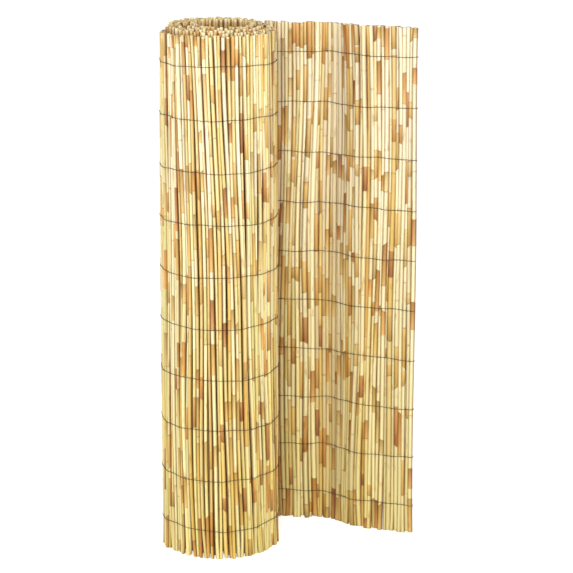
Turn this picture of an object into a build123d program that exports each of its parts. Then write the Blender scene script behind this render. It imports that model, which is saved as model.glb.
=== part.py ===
"""A rolled reed screen, standing on end with its last stretch unrolled.

The screen is a mat of upright reeds bound by rows of wire, one strand on each face of the mat. Seen from
above, the mat is one line: it starts at the free edge of the flap, waves back behind the roll, meets the
roll at its back and winds inward. +Z is up, along the reeds, and -Y is the front. The origin is on the
floor, at the middle of the whole screen's outline. All sizes are in millimetres.
"""

import os
from math import ceil, cos, pi, radians, sin

from build123d import *

# The reeds
reed_length = 1000.0      # height of the screen
reed_diameter = 7.4       # mean thickness of a reed
reed_spread = 1.1         # how much thicker or thinner than the mean a reed can be
reed_phase = 2.4          # radians from one reed's thickness to the next one's
reed_contact = 3.0        # thickness of the wall where two reeds touch
crest_share = 0.5         # share of a reed's thickness that its crest takes, in the stretch that shows

# The roll, measured to the middle of the wall at the back, where the mat meets it
roll_half_width = 113.0
roll_half_depth = 135.5
turns = 4.5               # how often the mat goes round
turn_pitch = 14.0         # from the middle of one turn's wall to the next one's
points_per_turn = 12

# The flap, as points of the wall's middle from the free edge on, measured from the back of the roll
flap_points = [
    (370.5, -120.5),
    (333.5, -102.5),
    (293.5, -85.5),
    (258.5, -67.5),
    (228.5, -32.5),
    (196.5, -11.5),
    (161.5, -10.5),
    (122.5, -1.5),
    (60.0, 1.5),
]
flap_edge_direction = (-0.93, 0.37)

# The ends of the reeds
inner_lift = 11.5         # how much higher the second turn stands than the outermost
turn_lift = 0.8           # how much higher each turn after it stands than the one outside it
end_spread = 3.5          # how much shorter at an end some bundles are than their neighbours
end_phase = 2.0           # radians from one bundle's end to the next one's
bundle = 3                # reeds cut to one length, in the stretch that shows

# The wires
wire_rows = 10
wire_margin = 57.0        # from an end of the reeds to the nearest row
wire_diameter = 0.9
wire_clearance = 0.15     # between a strand and the thickest reeds
wire_chord = 40.0         # longest straight run of a strand
wire_wrap = 330.0         # degrees of the outermost turn that a strand follows

# The gaps that show between reeds, from one row of wire to the next
gap_width = 1.8
gap_margin = 18.0         # from a row of wire to the nearest end of a gap
gap_every = 15            # joints between reeds from one gap to the next at the same height
gap_step = 5              # joints by which a gap leads the nearest one below it

wire_pitch = (reed_length - 2.0 * wire_margin) / (wire_rows - 1)
crest = (reed_diameter + reed_spread) / 2.0


def turn_length(turn):
    """The length of the wall in one turn, where turn 0 is the outermost."""
    return pi * (roll_half_width + roll_half_depth - turn_pitch * (2 * turn + 1))


def spiral_point(turned):
    """The middle of the wall after turning inward by so many degrees from the back of the roll."""
    inward = turn_pitch * turned / 360.0
    angle = radians(90.0 + turned)
    return ((roll_half_width - inward) * cos(angle), (roll_half_depth - inward) * sin(angle))


with BuildLine() as flap_line:
    Spline(
        *[(x, roll_half_depth + y) for x, y in flap_points],
        spiral_point(0.0),
        tangents=[flap_edge_direction, (-1.0, 0.0)],
    )
with BuildLine() as roll_line:
    Spline(*[spiral_point(360.0 * i / points_per_turn) for i in range(round(turns * points_per_turn) + 1)])
flap_edge = flap_line.edge()
roll_edge = roll_line.edge()
flap_length = flap_edge.length
mat_length = flap_length + roll_edge.length


def on_mat(distance):
    """The middle of the wall and the mat's direction there, so far from the free edge."""
    if distance < flap_length:
        edge, along = flap_edge, distance
    else:
        edge, along = roll_edge, distance - flap_length
    return (
        edge.position_at(along, position_mode=PositionMode.LENGTH),
        edge.tangent_at(along, position_mode=PositionMode.LENGTH),
    )


def outward(direction):
    """The direction to the mat's outer face, which is the outside of the roll."""
    return Vector(direction.Y, -direction.X)


def lay_reeds():
    """Each reed's thickness and its middle, and each joint between reeds, from the free edge inward."""
    laid, seams = [], [on_mat(0.0)]
    reached = 0.0
    while True:
        thickness = reed_diameter + reed_spread * sin(reed_phase * len(laid))
        if reached + thickness > mat_length:
            return laid, seams
        laid.append((thickness, *on_mat(reached + thickness / 2.0)))
        reached += thickness
        seams.append(on_mat(reached))


reeds, joints = lay_reeds()


def reeds_within(distance):
    """How many reeds lie between the free edge and a distance along the mat."""
    return min(round(distance / reed_diameter), len(reeds))


def face(first, last, side, crest_width):
    """Plan points of one face of some reeds: a valley at each joint, and a crest on each reed."""
    points = []
    for i in range(first, last):
        point, direction = joints[i]
        points.append(point + outward(direction) * side * reed_contact / 2.0)
        thickness, middle, direction = reeds[i]
        ridge = middle + outward(direction) * side * thickness / 2.0
        if crest_width > 0.0:
            half = direction * thickness * crest_width / 2.0
            points += [ridge - half, ridge + half]
        else:
            points.append(ridge)
    point, direction = joints[last]
    points.append(point + outward(direction) * side * reed_contact / 2.0)
    return points


def bulge(start, end, side):
    """How far the mat stands out of a straight line between two distances, towards one face."""
    middle, direction = on_mat((start + end) / 2.0)
    straight = (on_mat(start)[0] + on_mat(end)[0]) / 2.0
    return max(0.0, (middle - straight).dot(outward(direction)) * side)


def strand_outline(side):
    """Plan points of a strand that lies on one face of the mat, in straight runs that clear the reeds."""
    length = flap_length + turn_length(0) * wire_wrap / 360.0
    runs = int(length / wire_chord) + 1
    stops = [length * i / runs for i in range(runs + 1)]
    bulges = [0.0, *[bulge(start, end, side) for start, end in zip(stops, stops[1:])], 0.0]
    near, far = [], []
    for stop, before, after in zip(stops, bulges, bulges[1:]):
        point, direction = on_mat(stop)
        away = outward(direction) * side
        stand_off = crest + wire_clearance + max(before, after)
        near.append(point + away * stand_off)
        far.append(point + away * (stand_off + wire_diameter))
    return near + far[::-1]


shown = reeds_within(flap_length + turn_length(0))
strands = {"outer": strand_outline(1.0), "inner": strand_outline(-1.0)}
outline = face(0, shown, 1.0, crest_share) + face(0, shown, -1.0, crest_share) + strands["outer"]
origin_x = (min(p.X for p in outline) + max(p.X for p in outline)) / 2.0
origin_y = (min(p.Y for p in outline) + max(p.Y for p in outline)) / 2.0


def level(height):
    """The plane at a height above the floor, with its origin at the middle of the roll."""
    return Plane((-origin_x, -origin_y, height))


def stretch(first, last, bottom, top, crest_width):
    """One stretch of the ridged wall, from reed first up to reed last."""
    outer = face(first, last, 1.0, crest_width)
    inner = face(first, last, -1.0, crest_width)
    with BuildPart() as wall:
        with BuildSketch(level(bottom)):
            with BuildLine():
                Polyline(*outer, *inner[::-1], close=True)
            make_face()
        extrude(amount=top - bottom)
    return wall.part


def shortened(count):
    """How much an end of a bundle falls short. About half of the bundles reach the full length."""
    return end_spread * max(0.0, sin(end_phase * count))


stretches = []
for count, first in enumerate(range(0, shown, bundle)):
    last = min(first + bundle, shown)
    top = reed_length - shortened(count + 2)
    stretches.append(stretch(first, last, shortened(count), top, crest_share))
wound = flap_length + turn_length(0)
first = shown
for turn in range(1, ceil(turns)):
    wound += turn_length(turn)
    last = len(reeds) if turn + 1 >= turns else reeds_within(wound)
    lift = inner_lift + turn_lift * (turn - 1)
    stretches.append(stretch(first, last, lift, reed_length + lift, 0.0))
    first = last

with BuildPart() as gaps:
    for bay in range(wire_rows - 1):
        with BuildSketch(level(wire_margin + wire_pitch * bay + gap_margin)):
            for joint in range(1 + gap_step * bay % gap_every, shown, gap_every):
                point, direction = joints[joint]
                slant = Vector(1.0, 0.0).get_signed_angle(direction)
                with Locations(Location((point.X, point.Y), slant)):
                    Rectangle(gap_width, 2.0 * crest + gap_width)
        extrude(amount=wire_pitch - 2.0 * gap_margin)

with BuildPart() as reed_mat:
    add(stretches)
    add(gaps.part, mode=Mode.SUBTRACT)
reed_mat.part.label = "reed_mat"


def strand(side, row):
    """One strand of wire, flat and square in section."""
    with BuildPart() as wire:
        with BuildSketch(level(wire_margin + wire_pitch * row - wire_diameter / 2.0)):
            with BuildLine():
                Polyline(*strands[side], close=True)
            make_face()
        extrude(amount=wire_diameter)
    wire.part.label = f"wire_{side}_{row + 1:02d}"
    return wire.part


wires = [strand(side, row) for side in strands for row in range(wire_rows)]

os.makedirs("parts", exist_ok=True)
for piece in [reed_mat.part, *wires]:
    export_step(piece, f"parts/{piece.label}.step")
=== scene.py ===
"""The look of a rolled reed screen: each reed, with its nodes, sheaths and cut ends, and the wires.

The mat's plan is one line, as in the solids: from the free edge of the flap, behind the roll, and inward.
All sizes are in metres. +Z is up and -Y is the front.

A table whose name ends in _at gives values by how far the mat has turned inward, in degrees. On the flap,
which comes before the roll, its places are minus the millimetres that are left to the back of the roll.
"""

import random
from math import atan, pi, radians, sin

import bpy
import numpy as np
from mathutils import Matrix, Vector


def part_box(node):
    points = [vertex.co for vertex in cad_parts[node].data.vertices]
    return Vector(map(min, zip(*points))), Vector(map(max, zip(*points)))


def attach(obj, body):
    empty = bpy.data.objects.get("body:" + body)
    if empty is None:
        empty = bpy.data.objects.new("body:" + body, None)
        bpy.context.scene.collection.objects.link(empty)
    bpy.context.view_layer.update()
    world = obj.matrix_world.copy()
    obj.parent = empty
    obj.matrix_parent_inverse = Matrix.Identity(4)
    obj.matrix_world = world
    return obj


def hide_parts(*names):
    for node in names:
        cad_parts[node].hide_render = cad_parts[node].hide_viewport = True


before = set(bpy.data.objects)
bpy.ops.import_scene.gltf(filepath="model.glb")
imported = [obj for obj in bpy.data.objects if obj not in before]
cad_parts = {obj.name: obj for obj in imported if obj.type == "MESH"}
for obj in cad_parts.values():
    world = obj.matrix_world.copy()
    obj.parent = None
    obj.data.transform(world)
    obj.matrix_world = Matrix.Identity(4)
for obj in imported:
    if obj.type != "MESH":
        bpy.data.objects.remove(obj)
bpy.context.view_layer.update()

# The mat, as in the solids
reed_length = 1.0
reed_diameter = 0.0074
reed_spread = 0.0011
reed_phase = 2.4
roll_half_width = 0.113
roll_half_depth = 0.1355
turns = 4.5
turn_pitch = 0.014
flap_points = [
    (0.3705, -0.1205),
    (0.3335, -0.1025),
    (0.2935, -0.0855),
    (0.2585, -0.0675),
    (0.2285, -0.0325),
    (0.1965, -0.0115),
    (0.1615, -0.0105),
    (0.1225, -0.0015),
    (0.060, 0.0015),
]
flap_edge_direction = (-0.93, 0.37)
wire_rows = 10
wire_margin = 0.057
wire_wrap = 330.0
crest = (reed_diameter + reed_spread) / 2.0
wire_pitch = (reed_length - 2.0 * wire_margin) / (wire_rows - 1)

# The mat's line in plan
flap_samples = 24         # points between two of the flap's points
spiral_step = 2.0         # degrees from one point of the roll to the next

# The strands of wire
wire_diameter = 0.0011    # thicker than in the solids, with its dirt and rust
wire_sides = 6
wire_twist = 0.0004       # how far a strand goes up and down between reeds
wire_dip = 0.32           # how far it dips between two reeds, to a reed's radius
wire_shoulder = 0.05      # and at half a radius from a reed's crest
wire_sag = 0.0003         # how far it sinks towards a reed that lies deeper than its neighbours
wire_hook = [(1.13, 0.12), (0.90, 0.62)]   # its start, to the first reed's radius and to its crest
wire_waves = [(0.0012, 0.21, 1.7), (0.0006, 0.067, 1.0)]   # height, length, and radians from row to row

# How the reeds depart from straight and upright
lean_slope = 0.022        # along the mat, for each metre up, on the roll
lean_reach = 0.15         # length of mat past the flap over which that lean builds up
sway = 0.0050             # widest slow wander along the mat
steady_edge = 0.09        # length of mat from the free edge over which it builds up
own_sway_at = [(-30.0, 0.0010), (50.0, 0.0011)]   # how far a reed wanders from its neighbours
own_wave = (0.4, 1.1)     # shortest and longest wave of that wander
staggered = 0.0019        # how far reeds are pushed to one face or the other
least_staggered = 0.1     # smallest share of that
flare = 0.0026            # how far the loose ends beyond the last wires splay
flare_height = 0.065
flare_shares = (1.0, 0.45, 0.8, 0.3)   # along the mat at the foot and head, then out of it at both
taper = 0.13              # change in thickness from end to end
ovalness = 0.05
fullness_at = [(-30.0, 1.24), (50.0, 0.94)]   # thickness of reeds to their spacing
fullness_spread = (0.94, 1.06)

# The two waves of the slow wander: share, length along the mat and up the reeds, length of the slant
# between the two, and where the first and the second start, in radians
sway_waves = [
    (1.0, 0.43, 1.15, 0.61, 0.6, 0.0),
    (0.30, 0.19, 0.52, 0.27, 0.0, 1.0),
]

# How far the outermost turn stands out of the spiral, at the top and at the floor
stand_out_high_at = [
    (0.0, 0.0),
    (60.0, 0.0018),
    (120.0, 0.0018),
    (180.0, 0.0),
    (235.0, -0.0035),
    (300.0, -0.0035),
    (350.0, 0.0),
]
stand_out_low_at = [
    (0.0, 0.0),
    (60.0, 0.0070),
    (120.0, 0.0070),
    (180.0, 0.0030),
    (235.0, 0.0),
    (350.0, 0.0),
]

# Painted shade on the sides of reeds, where neighbours touch and less light falls: the least, and how
# closely it keeps to the sides of reeds that stand proud of their neighbours and of reeds that lie deeper
side_shade_places = [-30.0, 50.0, 90.0, 140.0, 220.0, 270.0]
least_side_shade_at = list(zip(side_shade_places, [0.88, 0.1, 0.0, 0.25, 0.25, 0.0]))
proud_width_at = list(zip(side_shade_places, [2.2, 2.4, 2.8, 1.7, 1.7, 3.2]))
recessed_width_at = list(zip(side_shade_places, [1.10, 1.1, 1.4, 0.8, 0.8, 1.6]))

# How much of a reed's inner face is darkened by painted shade, where it is sheltered from the light
shelter_shade_at = [
    (-250.0, 0.0),
    (-228.0, 0.35),
    (-192.0, 0.35),
    (-172.0, 0.0),
    (-126.0, 0.0),
    (-112.0, 0.9),
    (0.0, 1.0),
    (60.0, 0.6),
    (100.0, 0.0),
]
shelter_shade_by_height = [(0.50, 1.0), (0.80, 0.5)]   # and by height

# The inner turns get painted shade below their rims, where little light reaches between the turns
inner_painted_shade = 0.85
pale_rim = 0.001          # how far below the top a rim stays pale
rim_fade = 0.009          # how far it takes from there to grow dark

# The ends of the reeds
lift_at = [
    (0.0, 0.0),
    (350.0, 0.0),
    (400.0, 0.0115),
    (455.0, 0.0110),
    (500.0, 0.0070),
    (560.0, 0.0050),
    (640.0, 0.0065),
    (720.0, 0.0115),
    (900.0, 0.0090),
    (1080.0, 0.0125),
    (1620.0, 0.0130),
]
bottom_share = 0.35       # how much of the lift the bottoms of the reeds follow
top_change_at = [
    (-400.0, 0.0),
    (40.0, 0.0),
    (95.0, -0.0035),
    (180.0, 0.0015),
    (300.0, 0.0),
    (1620.0, 0.0),
]
ragged = 0.0035           # how much an end can fall short
ragged_foot = (-0.8, 1.0)      # smallest and greatest share of that. Below 0 a foot stays whole.
ragged_head = (-0.15, 1.0)
cut_slope = 0.16          # steepest slant of a cut end

# The form of a reed
sides = 10
hidden_sides = 8
sharp_from = 50.0         # degrees between faces whose edge is sharp
node_spacing = (0.08, 0.19)
first_node = 0.01         # lowest place of the first node
last_node = 0.012         # least distance of the last node from the end
node_swelling = 1.08
node_half_height = 0.0011
sheath_thickness = 1.05
sheath_share = 0.64
sheath_length = (0.018, 0.085)
sheath_reach = 0.95       # greatest share of the way to the next node that a sheath covers
sheath_least = 0.02       # shortest sheath at a reed's foot
sheath_margin = 0.002     # least distance of a sheath from the end
sheath_start = 0.0005     # height over which a sheath begins
sheath_edge = 0.0004      # height over which a sheath ends
sheath_slant = 0.0045     # how far the open end of a sheath slopes
edge_shadow = 0.0024      # how far the painted shadow beyond a sheath's open end reaches
edge_margin = 0.02        # least distance of such a shadow from an end of the reed
edge_room = 0.0065        # how far from it there is no other ring
bore_share = 0.62
bore_depth = 0.012
bore_taper = 0.9          # the bore's width at its bottom, to its width near the end
bore_edge = 0.0008        # height over which the bore widens at the end
bore_widening = 0.03
cut_edge = 0.0004         # height over which a cut end is rounded
cut_share = 0.96

# The rings that a reed is made of
ring_step = 0.045
ring_digits = 5
closest_rings = 0.0006    # from an end of the reed, or from a sheath's open end
node_steps = (-0.005, -node_half_height, 0.0, node_half_height, 0.004)
foot_stops = (0.008, 0.020, 0.028)
head_stops = (0.02, 0.008)
end_rings = 5             # rings of a cut end
plain_foot = 0.06         # the inner turns keep all rings of this much of the foot
plain_head = 0.14         # and of this much of the head
plain_every = 4           # and one in so many between

# Colours, as the eye sees them
cream = (0.995, 0.970, 0.855)
pale_straw = (0.975, 0.925, 0.710)
straw = (0.945, 0.865, 0.575)
golden = (0.915, 0.790, 0.465)
greenish = (0.920, 0.895, 0.655)
ochre = (0.865, 0.700, 0.390)
sheath_gold = (0.905, 0.735, 0.400)
sheath_orange = (0.875, 0.630, 0.300)
sheath_brown = (0.745, 0.480, 0.235)
sheath_tan = (0.920, 0.805, 0.530)
# the brown of stained nodes, and also of the painted shadow beyond a sheath's open end
node_and_shadow_brown = (0.480, 0.320, 0.170)
painted_side_shade = (0.310, 0.145, 0.045)      # painted shade on the sides, where reeds touch
painted_shelter_shade = (0.570, 0.350, 0.170)    # painted shade that darkens the mat where it's sheltered: behind the roll and inside it
cut_straw = (0.960, 0.885, 0.650)
# painted shade inside the bore of a cut end, and on the flat face that closes it
painted_bore_shade = (0.170, 0.100, 0.050)
stem_colours = [cream, pale_straw, straw, golden, greenish, ochre]
stem_weights = [46, 27, 12, 6, 7, 2]
flap_stem_weights = [76, 16, 3, 2, 2, 1]
stem_shades = (0.93, 1.04)
sheath_colours = [sheath_gold, sheath_orange, sheath_brown, sheath_tan]
sheath_weights = [40, 26, 9, 25]
sheath_shades = (0.9, 1.06)
sheath_blend = 0.35                # how much of the bare reed's colour a sheath has at its foot
sheath_end_shade = 0.86            # how much darker it is at its open end
painted_edge_shadow = 0.7                   # how brown the painted shadow beyond an open end is
node_stain = 0.55                  # how brown a node can be
node_fade = 5.0                    # how many times weaker that is just beside it
kept_colour = (1.0, 1.0, 0.98)     # shares of red, green and blue that are kept at the top
lost_colour = (0.06, 0.08, 0.25)   # and shares that are lost at the floor, so it is darker and yellower there
lost_height = 0.75                 # how high up some are lost

# The light: name, place, size and power of each lamp
lamps = [
    ("key", (-0.5, -3.9, 2.2), 0.6, 89.0),
    ("right", (2.0, -3.2, 1.6), 1.0, 58.0),
    ("left", (-3.6, -1.3, 1.4), 1.2, 46.0),
]
lamp_target = (0.0, 0.0, 0.5)
sky_light = 0.43
floor_glow = 0.62
floor_reach = 30.0

# The camera, from the middle of the roll
camera_height = 1.476
camera_distance = 4.423
camera_right = 0.0124
camera_down = 12.39
camera_lens = 148.06
sensor = 36.0
frame_pixels = 573
principal_x = 227.9       # the pixel column that the camera's middle would be at without its turn


def smooth_curve(points, start_direction, end_direction, samples):
    """Points along the smooth curve through some points, with its direction given at both ends."""
    points = np.array(points)
    chords = np.linalg.norm(np.diff(points, axis=0), axis=1)
    count = len(points)
    matrix = np.zeros((count, count))
    known = np.zeros((count, 2))
    matrix[0, 0] = matrix[-1, -1] = 1.0
    known[0], known[-1] = start_direction, end_direction
    for i in range(1, count - 1):
        before, after = chords[i - 1], chords[i]
        matrix[i, i - 1 : i + 2] = after, 2.0 * (before + after), before
        known[i] = 3.0 * (
            after * (points[i] - points[i - 1]) / before + before * (points[i + 1] - points[i]) / after
        )
    slopes = np.linalg.solve(matrix, known)
    share = np.linspace(0.0, 1.0, samples, endpoint=False)[:, None]
    curve = []
    for i in range(count - 1):
        chord = chords[i]
        curve.append(
            (2 * share**3 - 3 * share**2 + 1) * points[i]
            + (share**3 - 2 * share**2 + share) * chord * slopes[i]
            + (3 * share**2 - 2 * share**3) * points[i + 1]
            + (share**3 - share**2) * chord * slopes[i + 1]
        )
    return np.concatenate(curve)


def spiral(turned):
    """The middle of the wall after turning inward by so many degrees from the back of the roll."""
    inward = turn_pitch * turned / 360.0
    angle = np.radians(90.0 + turned)
    x = (roll_half_width - inward) * np.cos(angle)
    y = (roll_half_depth - inward) * np.sin(angle)
    return np.stack([x, y], axis=-1)


def mat_line():
    """The mat's line in plan, with distances and degrees turned, the flap's length and the roll's middle."""
    direction = np.array(flap_edge_direction)
    flap = smooth_curve(
        [(x, roll_half_depth + y) for x, y in flap_points] + [tuple(spiral(np.array(0.0)))],
        direction / np.linalg.norm(direction),
        (-1.0, 0.0),
        flap_samples,
    )
    angles = np.arange(0.0, 360.0 * turns + spiral_step / 4.0, spiral_step)
    points = np.concatenate([flap, spiral(angles)])
    steps = np.linalg.norm(np.diff(points, axis=0), axis=1)
    distance = np.concatenate([[0.0], np.cumsum(steps)])
    flap_length = distance[len(flap)]
    turned = np.concatenate([(distance[: len(flap)] - flap_length) * 1000.0, angles])
    # At its left side the spiral has come in by a quarter of its pitch, and at its front by half
    roll_middle = np.array([
        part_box("reed_mat")[0].x + roll_half_width - turn_pitch / 4.0 + crest,
        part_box("reed_mat")[0].y + roll_half_depth - turn_pitch / 2.0 + crest,
    ])
    return points + roll_middle, distance, turned, flap_length, roll_middle


line_points, line_distance, line_turned, flap_length, roll_middle = mat_line()
mat_length = line_distance[-1]
line_direction = np.gradient(line_points, line_distance, axis=0)
line_direction /= np.linalg.norm(line_direction, axis=1)[:, None]


def turned_at(distance):
    """How far the mat has turned inward at a distance from the free edge."""
    return float(np.interp(distance, line_distance, line_turned))


def distance_at(turned):
    """The distance from the free edge where the mat has turned inward by so many degrees."""
    return float(np.interp(turned, line_turned, line_distance))


def on_mat(distance):
    """Points of the wall's middle and the directions to its outer face, at distances from the free edge."""
    x = np.interp(distance, line_distance, line_points[:, 0])
    y = np.interp(distance, line_distance, line_points[:, 1])
    dx = np.interp(distance, line_distance, line_direction[:, 0])
    dy = np.interp(distance, line_distance, line_direction[:, 1])
    beyond = np.minimum(distance, 0.0) + np.maximum(distance - mat_length, 0.0)
    return np.stack([x + dx * beyond, y + dy * beyond], axis=-1), np.stack([dy, -dx], axis=-1)


def drift(distance, height):
    """How far a reed that starts at a distance has wandered along the mat at a height."""
    along = distance * 2.0 * pi
    wander = sum(
        share * sin(along / length + start) * np.sin(2.0 * pi * height / rise + along / slant + shift)
        for share, length, rise, slant, start, shift in sway_waves
    )
    on_roll = min(1.0, max(0.0, (distance - flap_length) / lean_reach))
    near_edge = min(1.0, distance / steady_edge)
    return near_edge * (sway * wander + on_roll * lean_slope * (reed_length / 2.0 - height))


def value_at(table, place):
    """A value between those of a table of (place, value)."""
    return float(np.interp(place, [p for p, _ in table], [v for _, v in table]))


def linear(colour):
    """A colour as the eye sees it, as the renderer counts it."""
    return [((c + 0.055) / 1.055) ** 2.4 if c > 0.04045 else c / 12.92 for c in colour]


def shade(colour, amount):
    """A colour made darker or brighter."""
    return tuple(min(1.0, c * amount) for c in colour)


def mix(one, other, share):
    """A colour between two colours."""
    return tuple(a + (b - a) * share for a, b in zip(one, other))


def toned_by_height(colour, height):
    """The colour at a height: paler towards the top, and darker and yellower near the floor."""
    low = max(0.0, 1.0 - height / lost_height)
    return tuple(c * (kept - lost * low) for c, kept, lost in zip(colour, kept_colour, lost_colour))


def draw_colour(rng, colours, weights, shades):
    """One of some colours, made a little darker or brighter."""
    return shade(rng.choices(colours, weights)[0], rng.uniform(*shades))


def grow(rng, length, weights):
    """One reed from its foot up: its bare colour from each place on, its stained nodes, and its sheaths."""
    stem = draw_colour(rng, stem_colours, weights, stem_shades)
    other = draw_colour(rng, stem_colours, weights, stem_shades)
    bare = [(0.0, mix(stem, other, rng.random()))]
    place = rng.uniform(first_node, node_spacing[1])
    covered_until = 0.0
    if rng.random() < sheath_share:
        covered_until = rng.uniform(0.0, sheath_length[1])
    colour = draw_colour(rng, sheath_colours, sheath_weights, sheath_shades)
    nodes, sheaths = [], []
    if covered_until > sheath_least:
        sheaths.append((0.0, covered_until, colour))
    while place < length - last_node:
        nodes.append((place, rng.uniform(0.0, node_stain)))
        bare.append((place, mix(stem, other, rng.random())))
        room = rng.uniform(*node_spacing)
        if rng.random() < sheath_share and place > covered_until:
            covered_until = place + min(rng.uniform(*sheath_length), room * sheath_reach)
            colour = draw_colour(rng, sheath_colours, sheath_weights, sheath_shades)
            sheaths.append((place, min(covered_until, length - sheath_margin), colour))
        place += room
    return bare, nodes, sheaths


def cover(at, bare, sheaths):
    """The share of the radius and the colour, so far from a reed's foot."""
    under = [colour for start, colour in bare if start <= at][-1]
    for start, end, colour in sheaths:
        if start <= at < end:
            reached = (at - start) / (end - start)
            foot = mix(colour, under, sheath_blend)
            return sheath_thickness, mix(foot, shade(colour, sheath_end_shade), reached)
    return 1.0, under


def ring_stops(rng, length, nodes, sheaths, plain):
    """How far from the foot a reed's rings are, how far some of them slant, and which lie in shadow."""
    stops = {round(node + step, ring_digits) for node, _ in nodes for step in node_steps}
    for start, end, _ in sheaths:
        stops.update(round(stop, ring_digits) for stop in (start + sheath_start, end - sheath_edge, end))
    fill = 0.0
    while fill < length:
        stops.add(round(fill, ring_digits))
        fill += ring_step
    stops.update(foot_stops)
    stops.update(round(length - stop, ring_digits) for stop in head_stops)
    slants, shaded = {}, set()
    for _, end, _ in sheaths:
        if edge_margin < end < length - edge_margin:
            slant = sheath_slant * rng.uniform(-1.0, 1.0)
            stops = {stop for stop in stops if not closest_rings < abs(stop - end) < edge_room}
            stops.add(round(end + edge_shadow, ring_digits))
            for step in (-sheath_edge, 0.0, edge_shadow):
                slants[round(end + step, ring_digits)] = slant
            shaded.add(round(end, ring_digits))
    stops = sorted(stop for stop in stops if closest_rings < stop < length - closest_rings)
    if plain:
        stops = [
            stop
            for i, stop in enumerate(stops)
            if stop < plain_foot or stop > length - plain_head or i % plain_every == 0
        ]
    return stops, slants, shaded


def cut_end(ring):
    """The rings of a cut end, by their distance from it: from inside the bore out to a ring of the reed."""
    return [
        (bore_depth, bore_share * bore_taper, painted_bore_shade, 0.0),
        (bore_edge, bore_share, painted_bore_shade, 0.0),
        (0.0, bore_share + bore_widening, cut_straw, 0.0),
        (0.0, ring[1] * cut_share, cut_straw, 0.0),
        (cut_edge, ring[1], ring[2], 0.0),
    ]


def reed_rings(rng, bottom, top, plain, weights):
    """The rings of one reed from the bottom up: height, share of the radius, colour and slant."""
    length = top - bottom
    bare, nodes, sheaths = grow(rng, length, weights)
    upside_down = rng.random() < 0.5
    stops, slants, shaded = ring_stops(rng, length, nodes, sheaths, plain)
    rings = []
    for stop in stops:
        share, colour = cover(stop, bare, sheaths)
        for node, stain in nodes:
            if abs(stop - node) < node_half_height / 2.0:
                share = share * node_swelling
                colour = mix(colour, node_and_shadow_brown, stain)
            elif abs(stop - node) < node_half_height * 1.5:
                share = share * (1.0 + node_swelling) / 2.0
                colour = mix(colour, node_and_shadow_brown, stain / node_fade)
        # painted shadow beyond a sheath's open end
        if stop in shaded:
            colour = mix(colour, node_and_shadow_brown, painted_edge_shadow)
        rings.append((stop, share, colour, slants.get(stop, 0.0)))
    if upside_down:
        rings = [(length - at, share, colour, -slant) for at, share, colour, slant in reversed(rings)]
    head = [(length - at, *rest) for at, *rest in reversed(cut_end(rings[-1]))]
    return [(bottom + at, *rest) for at, *rest in cut_end(rings[0]) + rings + head]


class Tubes:
    """Collects tubes that become one mesh."""

    def __init__(self):
        self.points, self.faces, self.colours = [], [], []
        self.count = 0

    def add(self, rings, colours=None):
        """Adds a tube through rings of points, with their colours, and closes both of its ends."""
        rows, around = rings.shape[:2]
        self.points.append(rings.reshape(-1, 3))
        if colours is not None:
            self.colours.append(colours.reshape(-1, 3))
        for row in range(rows - 1):
            start = self.count + row * around
            for i in range(around):
                j = (i + 1) % around
                self.faces.append((start + i, start + j, start + around + j, start + around + i))
        last = self.count + (rows - 1) * around
        self.faces.append(tuple(range(self.count + around - 1, self.count - 1, -1)))
        self.faces.append(tuple(range(last, last + around)))
        self.count += rows * around

    def make(self, name, material, slot, replaced):
        """The mesh object, in place of CAD nodes."""
        mesh = bpy.data.meshes.new(name)
        mesh.from_pydata(np.concatenate(self.points).tolist(), [], self.faces)
        if self.colours:
            colours = np.concatenate(self.colours)
            tint = mesh.color_attributes.new("tint", "FLOAT_COLOR", "POINT")
            tint.data.foreach_set("color", np.c_[colours, np.ones(len(colours))].astype(np.float32).ravel())
        mesh.shade_smooth()
        mesh.set_sharp_from_angle(angle=radians(sharp_from))
        mesh.materials.append(material)
        piece = bpy.data.objects.new(name, mesh)
        bpy.context.scene.collection.objects.link(piece)
        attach(piece, "root")
        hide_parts(*replaced)


def spreading(distance):
    """How much the spacing between neighbours grows at most, on the flap, because they wander apart."""
    if distance > flap_length:
        return 1.0
    heights = np.linspace(0.0, reed_length, num=11)
    apart = drift(distance + reed_diameter / 2.0, heights) - drift(distance - reed_diameter / 2.0, heights)
    return 1.0 + max(0.0, float(apart.max()) / reed_diameter)


def lay_reeds(rng):
    """Every reed: its distance along the mat, radius, offset towards the outer face, and its own wander."""
    laid = []
    reached = 0.0
    while True:
        thickness = reed_diameter + reed_spread * sin(reed_phase * len(laid))
        if reached + thickness > mat_length:
            return laid
        side = 1.0 if len(laid) % 2 else -1.0
        turned = turned_at(reached)
        full_radius = thickness / 2.0 * value_at(fullness_at, turned) * spreading(reached)
        laid.append({
            "distance": reached + thickness / 2.0,
            "radius": full_radius * rng.uniform(*fullness_spread),
            "offset": side * staggered * rng.uniform(least_staggered, 1.0),
            "taper": taper * rng.uniform(-1.0, 1.0),
            "phase": rng.uniform(0.0, 2.0 * pi),
            "wave": rng.uniform(*own_wave),
            "sway": value_at(own_sway_at, turned),
            "flares": [rng.uniform(-1.0, 1.0) for _ in flare_shares],
        })
        reached += thickness


def tapered(reed, height):
    """How much thicker or thinner than in its middle a reed is at a height."""
    return 1.0 + reed["taper"] * (height - reed_length / 2.0)


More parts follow.
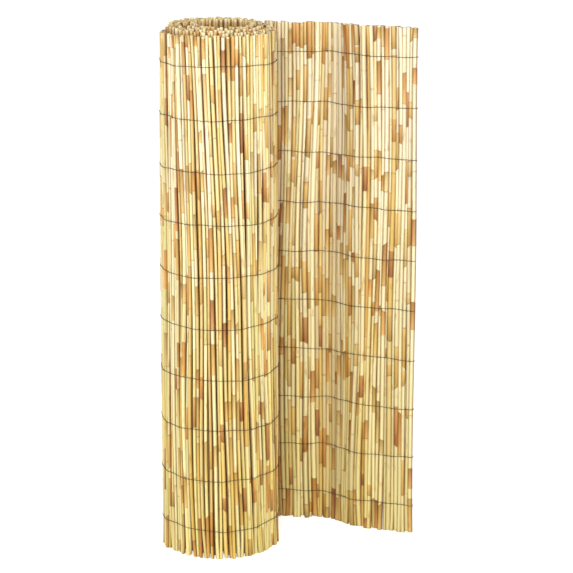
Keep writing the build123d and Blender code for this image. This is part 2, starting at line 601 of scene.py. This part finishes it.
def reed_axis(reed, heights):
    """Points of a reed's middle line at some heights, and the directions to the mat's outer face there."""
    wander = reed["sway"] * np.sin(2.0 * pi * heights / reed["wave"] + reed["phase"])
    low = np.clip((flare_height - heights) / flare_height, 0.0, 1.0) ** 2
    high = np.clip((heights - reed_length + flare_height) / flare_height, 0.0, 1.0) ** 2
    splays = [
        share * near_end * chance
        for share, near_end, chance in zip(flare_shares, (low, high, low, high), reed["flares"])
    ]
    along = wander + flare * (splays[0] + splays[1])
    out = reed["offset"] + flare * (splays[2] + splays[3])
    out = out + reed["sway"] * np.cos(2.0 * pi * heights / reed["wave"] + 2.0 * reed["phase"])
    turned = turned_at(reed["distance"])
    share = np.clip(heights / reed_length, 0.0, 1.0)
    low_out, high_out = value_at(stand_out_low_at, turned), value_at(stand_out_high_at, turned)
    out = out + low_out * (1.0 - share) + high_out * share
    points, faces = on_mat(reed["distance"] + drift(reed["distance"], heights) + along)
    return points + faces * out[:, None], faces


def reed_colours(reed, rng, rings, angles, top, plain):
    """The colour of each point of a reed: toned by height, with painted shade at its sides and where it's
    sheltered.
    """
    turned = turned_at(reed["distance"])
    heights = np.array([ring[0] for ring in rings])
    colours = np.array([linear(toned_by_height(ring[2], ring[0])) for ring in rings])
    # Painted shade on the sides of each reed, where it touches its neighbours
    least = value_at(least_side_shade_at, turned)
    strengths = np.where(np.sin(angles) > 0.0, rng.uniform(least, 1.0), rng.uniform(least, 1.0))
    proud, recessed = value_at(proud_width_at, turned), value_at(recessed_width_at, turned)
    width = np.where(np.cos(angles) * reed["offset"] < 0.0, recessed, proud)
    tints = 1.0 - (strengths * np.abs(np.sin(angles)) ** width)[:, None] * (1.0 - np.array(painted_side_shade))
    colours = colours[:, None, :] * tints
    if plain:
        # Painted shade below the rims of the inner turns
        deep = np.clip((top - pale_rim - heights) / rim_fade, 0.0, 1.0)
        darkened = inner_painted_shade * deep[:, None] * np.ones(len(angles))
    else:
        # Painted shade on the inner face, where the mat is sheltered
        levels = np.array([value_at(shelter_shade_by_height, height) for height in heights])
        darkened = value_at(shelter_shade_at, turned) * levels[:, None] * np.clip(-np.cos(angles), 0.0, 1.0)
    return colours * (1.0 - darkened[:, :, None] * (1.0 - np.array(painted_shelter_shade)))


def add_reed(tubes, reed, rng, plain):
    """Adds one reed to a group."""
    turned = turned_at(reed["distance"])
    lift = value_at(lift_at, turned)
    bottom = bottom_share * lift + ragged * max(0.0, rng.uniform(*ragged_foot))
    top = reed_length + lift + value_at(top_change_at, turned) - ragged * rng.uniform(*ragged_head)
    rings = reed_rings(rng, bottom, top, plain, flap_stem_weights if turned < 0.0 else stem_weights)
    heights, shares, slants = (np.array([ring[i] for ring in rings]) for i in (0, 1, 3))
    middles, faces = reed_axis(reed, heights)
    radii = shares * reed["radius"] * tapered(reed, heights)
    angles = np.linspace(0.0, 2.0 * pi, hidden_sides if plain else sides, endpoint=False)
    alongs = np.stack([-faces[:, 1], faces[:, 0]], axis=-1)
    oval = 1.0 + ovalness * sin(reed["phase"])
    plan = (
        middles[:, None, :]
        + faces[:, None, :] * (radii[:, None] * np.cos(angles) * oval)[:, :, None]
        + alongs[:, None, :] * (radii[:, None] * np.sin(angles) / oval)[:, :, None]
    )
    slopes = (rng.uniform(0.0, cut_slope), rng.uniform(0.0, cut_slope))
    turn = rng.uniform(0.0, 2.0 * pi)
    tilt = rng.uniform(0.0, 2.0 * pi)
    z = heights[:, None] + slants[:, None] * np.cos(angles + tilt)
    z[:end_rings] += slopes[0] * radii[:end_rings, None] * (1.0 + np.cos(angles + turn))
    z[-end_rings:] -= slopes[1] * radii[-end_rings:, None] * (1.0 + np.cos(angles - turn))
    colours = reed_colours(reed, rng, rings, angles, top, plain)
    tubes.add(np.concatenate([plan, z[:, :, None]], axis=2), colours)


def strand_path(reeds, height, side):
    """A strand as (distance, way out of the mat): over each reed, with a dip between two reeds."""
    end = distance_at(wire_wrap)
    heights = np.array([height])
    bound = [reed for reed in reeds if reed["distance"] < end]
    crests, places = [], []
    for reed in bound:
        place = reed["distance"] + float(drift(reed["distance"], heights)[0])
        middle, _ = reed_axis(reed, heights)
        base, face = on_mat(np.array([place]))
        out = float((middle[0] - base[0]) @ face[0])
        crests.append(side * out + reed["radius"] * tapered(reed, height) * sheath_thickness)
        places.append(place)
    path = []
    for i, (place, top) in enumerate(zip(places, crests)):
        before = crests[max(0, i - 1)]
        after = crests[min(len(crests) - 1, i + 1)]
        over = max(top, (before + after) / 2.0 - wire_sag) + wire_diameter / 2.0
        half = bound[i]["radius"]
        if i:
            path.append(((places[i - 1] + place) / 2.0, over - wire_dip * half))
        else:
            path += [(place - back * half, share * over) for back, share in wire_hook]
        path.append((place - 0.5 * half, over - wire_shoulder * half))
        path.append((place, over))
        path.append((place + 0.5 * half, over - wire_shoulder * half))
    return np.array(path)


def add_strand(tubes, reeds, row, side):
    """Adds one strand of wire, thin and slightly uneven."""
    height = wire_margin + wire_pitch * row
    path = strand_path(reeds, height, side)
    points, faces = on_mat(path[:, 0])
    wander = sum(
        size * np.sin(path[:, 0] * 2.0 * pi / length + row * shift) for size, length, shift in wire_waves
    )
    twist = wire_twist * side * np.cos(np.arange(len(path)) * pi / 2.0)
    middles = np.c_[points + faces * (side * path[:, 1])[:, None], height + wander + twist]
    runs = np.gradient(middles, axis=0)
    runs /= np.linalg.norm(runs, axis=1)[:, None]
    up = np.array([0.0, 0.0, 1.0])
    across = np.cross(runs, up)
    across /= np.linalg.norm(across, axis=1)[:, None]
    above = np.cross(across, runs)
    angles = np.linspace(0.0, 2.0 * pi, wire_sides, endpoint=False)
    rings = (
        middles[:, None, :]
        + wire_diameter / 2.0 * across[:, None, :] * np.cos(angles)[None, :, None]
        + wire_diameter / 2.0 * above[:, None, :] * np.sin(angles)[None, :, None]
    )
    tubes.add(rings)


def node_link(tree, source, output, target, socket):
    """Links two nodes of a material."""
    tree.links.new(source.outputs[output], target.inputs[socket])


def reed_material():
    """Dry reed: each stretch's own tint, fibres along it, small stains, and a satin skin."""
    material = bpy.data.materials.new("reed")
    material.use_nodes = True
    tree = material.node_tree
    shader = tree.nodes["Principled BSDF"]
    tint = tree.nodes.new("ShaderNodeAttribute")
    tint.attribute_name = "tint"
    place = tree.nodes.new("ShaderNodeTexCoord")

    def noise(stretch, scale, detail):
        mapping = tree.nodes.new("ShaderNodeMapping")
        mapping.inputs["Scale"].default_value = stretch
        texture = tree.nodes.new("ShaderNodeTexNoise")
        texture.inputs["Scale"].default_value = scale
        texture.inputs["Detail"].default_value = detail
        node_link(tree, place, "Object", mapping, "Vector")
        node_link(tree, mapping, "Vector", texture, "Vector")
        return texture

    def ramp(texture, stops):
        node = tree.nodes.new("ShaderNodeValToRGB")
        for i, (position, colour) in enumerate(stops):
            element = node.color_ramp.elements[i]
            element.position = position
            element.color = (*colour, 1.0)
        node_link(tree, texture, "Fac", node, "Fac")
        return node

    def multiply(first, second, share):
        node = tree.nodes.new("ShaderNodeMix")
        node.data_type = "RGBA"
        node.blend_type = "MULTIPLY"
        node.inputs["Factor"].default_value = share
        tree.links.new(first, node.inputs["A"])
        tree.links.new(second, node.inputs["B"])
        return node.outputs["Result"]

    fibres = noise(stretch=(1.0, 1.0, 0.012), scale=1100.0, detail=3.0)
    fibre_ramp = ramp(fibres, [(0.30, (0.80, 0.70, 0.52)), (0.62, (1.0, 1.0, 1.0))])
    stains = noise(stretch=(1.0, 1.0, 0.22), scale=130.0, detail=2.0)
    stain_ramp = ramp(stains, [(0.60, (1.0, 1.0, 1.0)), (0.74, (0.66, 0.47, 0.28))])
    colour = multiply(tint.outputs["Color"], fibre_ramp.outputs["Color"], share=0.75)
    colour = multiply(colour, stain_ramp.outputs["Color"], share=0.7)
    tree.links.new(colour, shader.inputs["Base Color"])
    roughness = tree.nodes.new("ShaderNodeMapRange")
    roughness.inputs["To Min"].default_value = 0.36
    roughness.inputs["To Max"].default_value = 0.62
    node_link(tree, fibres, "Fac", roughness, "Value")
    node_link(tree, roughness, "Result", shader, "Roughness")
    bump = tree.nodes.new("ShaderNodeBump")
    bump.inputs["Strength"].default_value = 0.35
    bump.inputs["Distance"].default_value = 0.0003
    node_link(tree, fibres, "Fac", bump, "Height")
    node_link(tree, bump, "Normal", shader, "Normal")
    return material


def wire_material():
    """Thin weathered iron wire, dull, with brown spots of rust."""
    material = bpy.data.materials.new("wire")
    material.use_nodes = True
    tree = material.node_tree
    shader = tree.nodes["Principled BSDF"]
    place = tree.nodes.new("ShaderNodeTexCoord")
    rust = tree.nodes.new("ShaderNodeTexNoise")
    rust.inputs["Scale"].default_value = 260.0
    node_link(tree, place, "Object", rust, "Vector")
    colours = tree.nodes.new("ShaderNodeValToRGB")
    colours.color_ramp.elements[0].color = (0.020, 0.016, 0.011, 1.0)
    colours.color_ramp.elements[1].color = (0.070, 0.040, 0.020, 1.0)
    node_link(tree, rust, "Fac", colours, "Fac")
    node_link(tree, colours, "Color", shader, "Base Color")
    shader.inputs["Metallic"].default_value = 0.30
    shader.inputs["Roughness"].default_value = 0.65
    return material


def make_screen():
    """All reeds in three groups along the mat, and the strands of wire."""
    rng = random.Random(7)
    reeds = lay_reeds(rng)
    dry_reed = reed_material()
    wire = wire_material()
    groups = {"flap_reeds": Tubes(), "outer_turn_reeds": Tubes(), "inner_turns_reeds": Tubes()}
    for reed in reeds:
        if reed["distance"] < flap_length:
            name = "flap_reeds"
        elif reed["distance"] > distance_at(360.0):
            name = "inner_turns_reeds"
        else:
            name = "outer_turn_reeds"
        add_reed(groups[name], reed, rng, plain=name == "inner_turns_reeds")
    for name, tubes in groups.items():
        tubes.make(name, dry_reed, "reed", ["reed_mat"])
    for side, face in ((1.0, "outer"), (-1.0, "inner")):
        for row in range(wire_rows):
            tubes = Tubes()
            add_strand(tubes, reeds, row, side)
            tubes.make(f"strand_{face}_{row + 1:02d}", wire, "wire", [f"wire_{face}_{row + 1:02d}"])


def seen_directly(tree):
    """A value that is 1 for what the camera sees, straight or mirrored, and 0 for light on the object."""
    rays = tree.nodes.new("ShaderNodeLightPath")
    either = tree.nodes.new("ShaderNodeMath")
    either.operation = "MAXIMUM"
    tree.links.new(rays.outputs["Is Camera Ray"], either.inputs[0])
    tree.links.new(rays.outputs["Is Glossy Ray"], either.inputs[1])
    return either.outputs["Value"]


def make_stage():
    """A plain pale floor, which fades into the white behind it."""
    mesh = bpy.data.meshes.new("floor")
    corners = [(x * floor_reach, y * floor_reach, 0.0) for x, y in ((-1, -1), (1, -1), (1, 1), (-1, 1))]
    mesh.from_pydata(corners, [], [(0, 1, 2, 3)])
    floor = bpy.data.objects.new("floor", mesh)
    bpy.context.scene.collection.objects.link(floor)
    material = bpy.data.materials.new("floor")
    material.use_nodes = True
    shader = material.node_tree.nodes["Principled BSDF"]
    shader.inputs["Base Color"].default_value = (0.93, 0.93, 0.92, 1.0)
    shader.inputs["Roughness"].default_value = 0.8
    shader.inputs["Specular IOR Level"].default_value = 0.1
    shader.inputs["Emission Color"].default_value = (1.0, 1.0, 1.0, 1.0)
    seen = seen_directly(material.node_tree)
    glow = material.node_tree.nodes.new("ShaderNodeMath")
    glow.operation = "MULTIPLY"
    glow.inputs[1].default_value = floor_glow
    material.node_tree.links.new(seen, glow.inputs[0])
    node_link(material.node_tree, glow, "Value", shader, "Emission Strength")
    mesh.materials.append(material)


def make_lights():
    """Soft light from all round, the white that the camera sees, and three broad lamps on the screen."""
    world = bpy.data.worlds.new("studio")
    bpy.context.scene.world = world
    world.use_nodes = True
    tree = world.node_tree
    background = tree.nodes["Background"]
    background.inputs["Color"].default_value = (1.0, 1.0, 1.0, 1.0)
    strength = tree.nodes.new("ShaderNodeMapRange")
    strength.inputs["To Min"].default_value = sky_light
    strength.inputs["To Max"].default_value = 1.0
    tree.links.new(seen_directly(tree), strength.inputs["Value"])
    node_link(tree, strength, "Result", background, "Strength")
    for name, place, size, power in lamps:
        light = bpy.data.lights.new(name, "AREA")
        light.size = size
        light.energy = power
        lamp = bpy.data.objects.new(name, light)
        lamp.location = place
        aim = Vector(lamp_target) - Vector(place)
        lamp.rotation_euler = aim.to_track_quat("-Z", "Y").to_euler()
        bpy.context.scene.collection.objects.link(lamp)


def make_camera():
    """The photograph's view: from the front, above the screen and well back."""
    data = bpy.data.cameras.new("camera")
    data.lens = camera_lens
    data.sensor_width = sensor
    data.clip_end = 100.0
    camera = bpy.data.objects.new("camera", data)
    focal_pixels = camera_lens / sensor * frame_pixels
    turn = atan((frame_pixels / 2.0 - principal_x) / focal_pixels)
    camera.location = (roll_middle[0] + camera_right, roll_middle[1] - camera_distance, camera_height)
    camera.rotation_euler = (radians(90.0 - camera_down), 0.0, -turn)
    bpy.context.scene.collection.objects.link(camera)
    bpy.context.scene.camera = camera


make_screen()
make_stage()
make_lights()
make_camera()
bpy.context.scene.view_settings.view_transform = "Standard"
